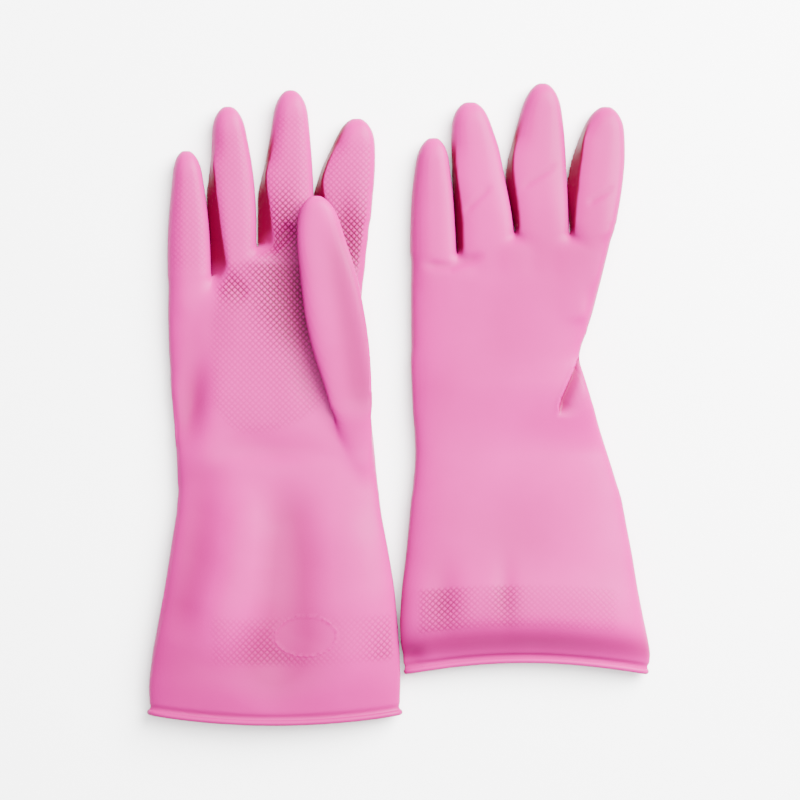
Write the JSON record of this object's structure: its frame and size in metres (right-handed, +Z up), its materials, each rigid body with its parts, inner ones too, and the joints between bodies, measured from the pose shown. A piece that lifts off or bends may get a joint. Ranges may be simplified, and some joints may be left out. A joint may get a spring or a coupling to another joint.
{
  "type": "pair of rubber gloves",
  "caption": "Pair of pink household rubber gloves with long gauntlets and rolled cuffs, one lying palm up with its thumb folded over and one lying back up.",
  "frame": {"origin": "centre of the pair's bounding box, on the surface the gloves lie on", "axes": "+X from the right-hand glove to the left-hand glove, +Y from the cuffs to the fingertips, +Z up from the surface"},
  "size_m": [0.2526, 0.3238, 0.0253],
  "materials": {
    "film": "smooth semi-gloss dipped rubber",
    "bead": "smooth semi-gloss dipped rubber"
  },
  "bodies": {
    "right_cuff": {"right_gauntlet": "film", "right_bead": "bead"},
    "right_palm": {"right_hand": "film"},
    "right_thumb_lower": {"right_thumb_base": "film"},
    "right_thumb_upper": {"right_thumb_tip": "film"},
    "right_index_lower": {"right_index_base": "film"},
    "right_index_upper": {"right_index_tip": "film"},
    "right_middle_lower": {"right_middle_base": "film"},
    "right_middle_upper": {"right_middle_tip": "film"},
    "right_ring_lower": {"right_ring_base": "film"},
    "right_ring_upper": {"right_ring_tip": "film"},
    "right_little_lower": {"right_little_base": "film"},
    "right_little_upper": {"right_little_tip": "film"},
    "left_cuff": {"left_gauntlet": "film", "left_bead": "bead"},
    "left_palm": {"left_hand": "film"},
    "left_thumb": {"left_thumb_base": "film", "left_thumb_tip": "film"},
    "left_index_lower": {"left_index_base": "film"},
    "left_index_upper": {"left_index_tip": "film"},
    "left_middle_lower": {"left_middle_base": "film"},
    "left_middle_upper": {"left_middle_tip": "film"},
    "left_ring_lower": {"left_ring_base": "film"},
    "left_ring_upper": {"left_ring_tip": "film"},
    "left_little_lower": {"left_little_base": "film"},
    "left_little_upper": {"left_little_tip": "film"}
  },
  "joints": [
    {"name": "right_wrist_bend", "type": "hinge", "parent": "right_cuff", "child": "right_palm", "pos_m": [-0.0605, -0.04, 0.015], "axis": [1, 0, 0], "range_deg": [0, 80]},
    {"name": "right_thumb_lift", "type": "hinge", "parent": "right_palm", "child": "right_thumb_lower", "pos_m": [-0.023, -0.01, 0.0253], "axis": [1, 0, 0], "range_deg": [0, 70]},
    {"name": "right_thumb_bend", "type": "hinge", "parent": "right_thumb_lower", "child": "right_thumb_upper", "pos_m": [-0.0345, 0.058, 0.0253], "axis": [1, 0, 0], "range_deg": [0, 80]},
    {"name": "right_index_root_bend", "type": "hinge", "parent": "right_palm", "child": "right_index_lower", "pos_m": [-0.0271, 0.107, 0.012], "axis": [1, 0, 0], "range_deg": [0, 90]},
    {"name": "right_index_middle_bend", "type": "hinge", "parent": "right_index_lower", "child": "right_index_upper", "pos_m": [-0.0237, 0.126, 0.012], "axis": [1, 0, 0], "range_deg": [0, 90]},
    {"name": "right_middle_root_bend", "type": "hinge", "parent": "right_palm", "child": "right_middle_lower", "pos_m": [-0.0564, 0.107, 0.012], "axis": [1, 0, 0], "range_deg": [0, 90]},
    {"name": "right_middle_middle_bend", "type": "hinge", "parent": "right_middle_lower", "child": "right_middle_upper", "pos_m": [-0.0549, 0.133, 0.012], "axis": [1, 0, 0], "range_deg": [0, 90]},
    {"name": "right_ring_root_bend", "type": "hinge", "parent": "right_palm", "child": "right_ring_lower", "pos_m": [-0.083, 0.083, 0.012], "axis": [1, 0, 0], "range_deg": [0, 90]},
    {"name": "right_ring_middle_bend", "type": "hinge", "parent": "right_ring_lower", "child": "right_ring_upper", "pos_m": [-0.0843, 0.117, 0.012], "axis": [1, 0, 0], "range_deg": [0, 90]},
    {"name": "right_little_root_bend", "type": "hinge", "parent": "right_palm", "child": "right_little_lower", "pos_m": [-0.1056, 0.067, 0.012], "axis": [1, 0, 0], "range_deg": [0, 90]},
    {"name": "right_little_middle_bend", "type": "hinge", "parent": "right_little_lower", "child": "right_little_upper", "pos_m": [-0.1061, 0.098, 0.012], "axis": [1, 0, 0], "range_deg": [0, 90]},
    {"name": "left_glove_lift_off", "type": "slide", "parent": "right_cuff", "child": "left_cuff", "axis": [0, 0, 1], "range_m": [0, 0.15]},
    {"name": "left_wrist_bend", "type": "hinge", "parent": "left_cuff", "child": "left_palm", "pos_m": [0.0568, -0.026, 0.015], "axis": [1, 0, 0], "range_deg": [0, 70]},
    {"name": "left_thumb_swing", "type": "hinge", "parent": "left_palm", "child": "left_thumb", "pos_m": [0.094, 0, 0.004], "axis": [0, 0, -1], "range_deg": [0, 45]},
    {"name": "left_index_root_bend", "type": "hinge", "parent": "left_palm", "child": "left_index_lower", "pos_m": [0.0973, 0.09, 0.02085], "axis": [1, 0, 0], "range_deg": [0, 60]},
    {"name": "left_index_middle_bend", "type": "hinge", "parent": "left_index_lower", "child": "left_index_upper", "pos_m": [0.1005, 0.121, 0.01562], "axis": [1, 0, 0], "range_deg": [0, 45]},
    {"name": "left_middle_root_bend", "type": "hinge", "parent": "left_palm", "child": "left_middle_lower", "pos_m": [0.0717, 0.09, 0.01849], "axis": [1, 0, 0], "range_deg": [0, 60]},
    {"name": "left_middle_middle_bend", "type": "hinge", "parent": "left_middle_lower", "child": "left_middle_upper", "pos_m": [0.0699, 0.127, 0.01369], "axis": [1, 0, 0], "range_deg": [0, 45]},
    {"name": "left_ring_root_bend", "type": "hinge", "parent": "left_palm", "child": "left_ring_lower", "pos_m": [0.0433, 0.09, 0.01583], "axis": [1, 0, 0], "range_deg": [0, 60]},
    {"name": "left_ring_middle_bend", "type": "hinge", "parent": "left_ring_lower", "child": "left_ring_upper", "pos_m": [0.0391, 0.122, 0.01325], "axis": [1, 0, 0], "range_deg": [0, 45]},
    {"name": "left_little_root_bend", "type": "hinge", "parent": "left_palm", "child": "left_little_lower", "pos_m": [0.0172, 0.079, 0.01337], "axis": [1, 0, 0], "range_deg": [0, 60]},
    {"name": "left_little_middle_bend", "type": "hinge", "parent": "left_little_lower", "child": "left_little_upper", "pos_m": [0.0168, 0.107, 0.01285], "axis": [1, 0, 0], "range_deg": [0, 45]}
  ]
}
